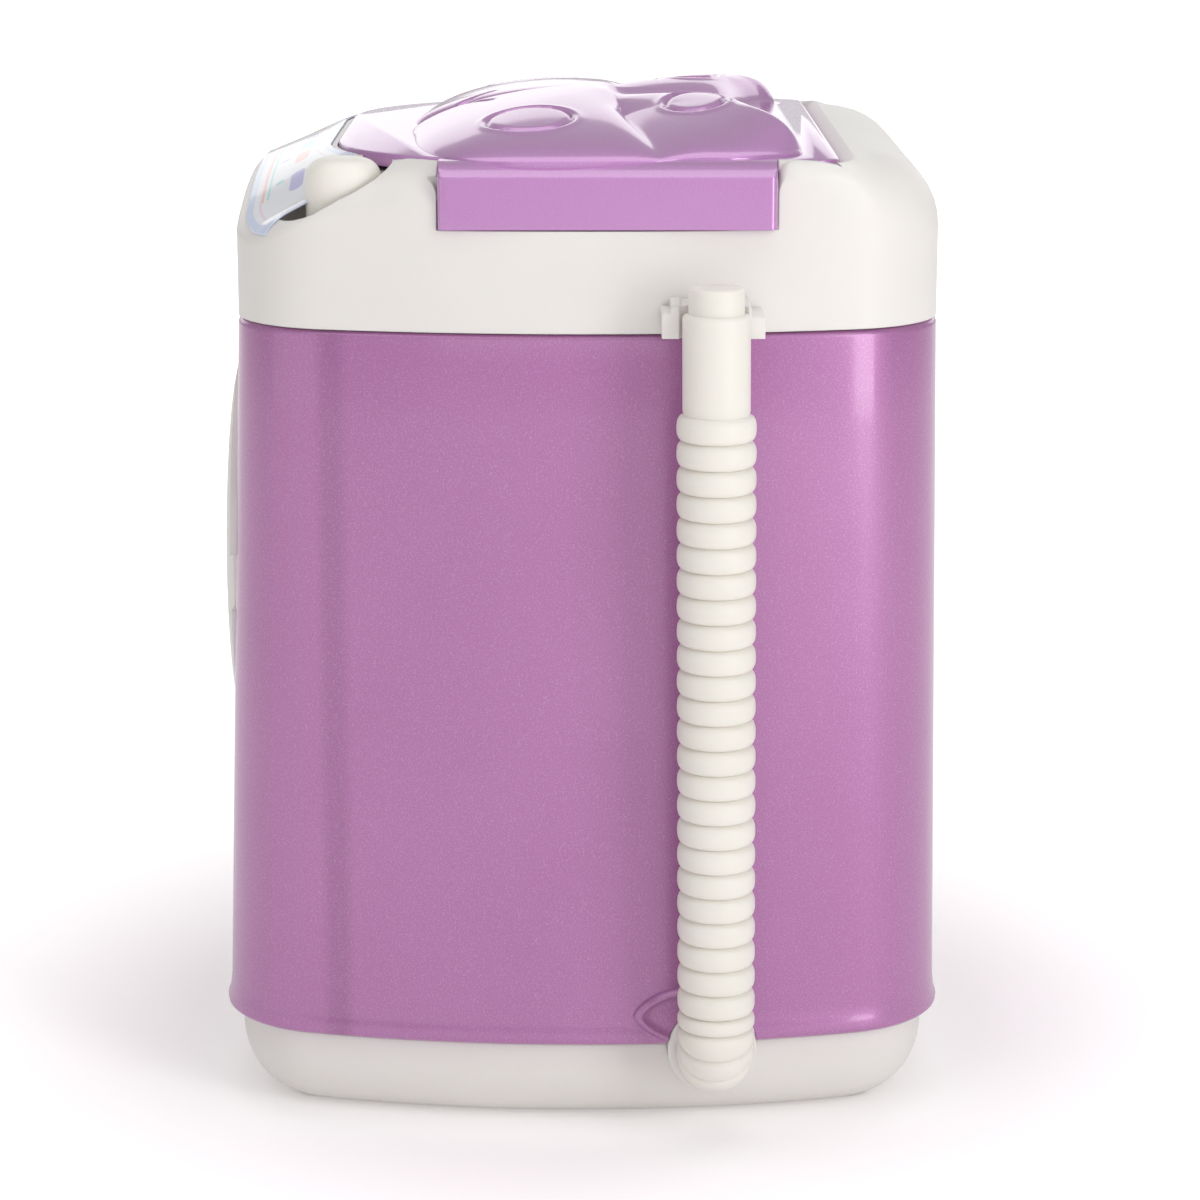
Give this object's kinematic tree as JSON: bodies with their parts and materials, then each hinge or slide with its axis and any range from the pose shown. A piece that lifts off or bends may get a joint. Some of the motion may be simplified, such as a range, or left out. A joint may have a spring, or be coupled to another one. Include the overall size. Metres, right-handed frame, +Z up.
{
  "type": "toy washing machine",
  "caption": "Small toy front-loading washing machine with a butterfly lid over a wash tray, a round door, a turning drum, a selector knob and a ribbed drain hose.",
  "frame": {"origin": "middle of the underside, on the surface that it stands on", "axes": "+Z up, -Y the door, +X the drain hose"},
  "size_m": [0.1007, 0.0901, 0.123],
  "materials": {
    "purple_plastic": "pearly purple moulded plastic, fine metallic speckle",
    "white_plastic": "warm white moulded plastic, satin",
    "ivory_plastic": "ivory moulded plastic, satin",
    "hose_plastic": "warm white blow-moulded plastic, satin",
    "printed_label": "printed film label, glossy",
    "smoky_window": "smoky clear moulded plastic",
    "inner_plastic": "plain moulded plastic",
    "gear_plastic": "self-lubricating moulded plastic",
    "steel": "bright steel",
    "brass_leaf": "bright brass",
    "motor_can": "zinc plated steel",
    "cell_sleeve": "plain printed sleeve"
  },
  "bodies": {
    "cabinet": {"base_tray": "white_plastic", "battery_cover": "white_plastic", "battery_cell_1": "cell_sleeve", "battery_cell_2": "cell_sleeve", "battery_contact_1": "steel", "battery_contact_2": "steel", "battery_contact_3": "steel", "battery_contact_4": "steel", "case_screw_1": "steel", "case_screw_2": "steel", "case_screw_3": "steel", "case_screw_4": "steel", "case_screw_5": "steel", "cabinet_shell": "purple_plastic", "top_frame": "white_plastic", "panel_label": "printed_label", "wash_tray": "white_plastic", "switch_contact_1": "brass_leaf", "switch_contact_2": "brass_leaf", "door_surround": "white_plastic", "door_hinge_pin": "steel", "tub": "inner_plastic", "tub_bearing": "inner_plastic", "drive_plate": "inner_plastic", "motor": "motor_can", "motor_screw_1": "steel", "motor_screw_2": "steel", "drain_hose": "hose_plastic", "hose_port": "white_plastic", "hose_clip": "white_plastic"},
    "door": {"door_ring": "white_plastic", "door_window": "smoky_window"},
    "lid": {"lid": "purple_plastic"},
    "knob": {"selector_knob": "ivory_plastic", "selector_spindle": "inner_plastic"},
    "drum": {"drum": "inner_plastic", "drum_shaft": "steel", "drum_gear": "gear_plastic"},
    "pinion": {"motor_pinion": "gear_plastic", "motor_shaft": "steel"}
  },
  "joints": [
    {"name": "door_hinge", "type": "hinge", "parent": "cabinet", "child": "door", "pos_m": [-0.0286, -0.0442, 0.0646], "axis": [0, 0, -1], "range_deg": [0, 105]},
    {"name": "lid_hinge", "type": "hinge", "parent": "cabinet", "child": "lid", "pos_m": [0, 0.0274, 0.1139], "axis": [-1, 0, 0], "range_deg": [0, 60]},
    {"name": "knob_turn", "type": "hinge", "parent": "cabinet", "child": "knob", "pos_m": [0.0336, -0.028, 0.11], "axis": [0, 0, 1], "range_deg": [-45, 45]},
    {"name": "drum_spin", "type": "hinge", "parent": "cabinet", "child": "drum", "pos_m": [0, 0, 0.0646], "axis": [0, 1, 0], "continuous": true},
    {"name": "pinion_spin", "type": "hinge", "parent": "cabinet", "child": "pinion", "pos_m": [0, 0, 0.0435], "axis": [0, 1, 0], "continuous": true}
  ],
  "couplings": [
    {"joint": "pinion_spin", "follows": "drum_spin", "ratio": -4}
  ]
}
